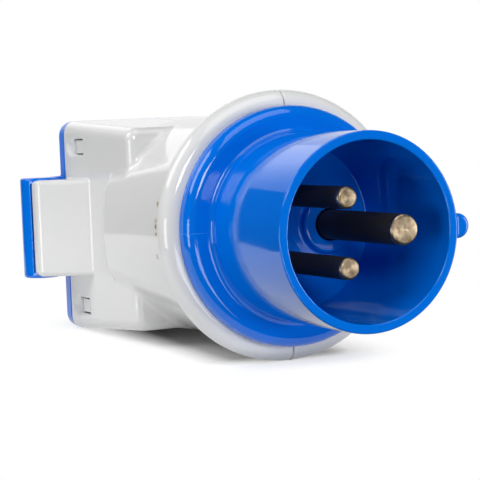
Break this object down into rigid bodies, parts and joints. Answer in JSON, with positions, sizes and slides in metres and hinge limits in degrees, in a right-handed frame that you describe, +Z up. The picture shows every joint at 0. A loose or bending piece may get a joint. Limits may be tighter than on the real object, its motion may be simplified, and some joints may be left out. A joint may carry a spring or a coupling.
{
  "type": "pin and sleeve adapter",
  "caption": "Mains adapter: blue keyed pin-and-sleeve plug with black-covered brass pins in a white two-part body whose square end holds a domestic socket under a spring-closed blue hinged lid.",
  "frame": {"origin": "on the plug axis, in the plane of the flange's front face", "axes": "+X along the plug axis towards the rim, +Y towards the key rib, +Z up as the adapter lies in the picture"},
  "size_m": [0.1216, 0.0712, 0.064],
  "materials": {
    "blue_plastic": "glossy moulded polyamide",
    "white_plastic": "satin moulded plastic, a little soiled",
    "inner_plastic": "plain moulded plastic",
    "pin_brass": "turned, pale",
    "black_plastic": "satin",
    "contact_brass": "stamped and rolled",
    "steel": "zinc plated",
    "brown_insulation": "soft cable insulation",
    "blue_insulation": "soft cable insulation",
    "green_insulation": "soft cable insulation",
    "rubber": "soft black rubber"
  },
  "bodies": {
    "adapter": {"plug_sleeve": "blue_plastic", "body_half_left": "white_plastic", "body_half_right": "white_plastic", "socket_insert": "white_plastic", "pin_retainer": "inner_plastic", "contact_carrier": "inner_plastic", "earth_pin": "pin_brass", "live_pin": "pin_brass", "neutral_pin": "pin_brass", "earth_pin_cover": "black_plastic", "live_pin_cover": "black_plastic", "neutral_pin_cover": "black_plastic", "live_contact": "contact_brass", "neutral_contact": "contact_brass", "earth_strap": "contact_brass", "retainer_screws": "steel", "terminal_screws": "steel", "body_screws": "steel", "carrier_screws": "steel", "hinge_pin": "steel", "lid_spring": "steel", "live_lead": "brown_insulation", "neutral_lead": "blue_insulation", "earth_lead": "green_insulation"},
    "lid": {"lid": "blue_plastic", "lid_gasket": "rubber"}
  },
  "joints": [
    {"name": "lid_hinge", "type": "hinge", "parent": "adapter", "child": "lid", "pos_m": [-0.0826, -0.03425, -0.001], "axis": [0, 0, 1], "range_deg": [0, 98], "stiffness_Nm_per_rad": 0.02, "springref_deg": -34.38, "deforming": ["lid_spring"]}
  ]
}
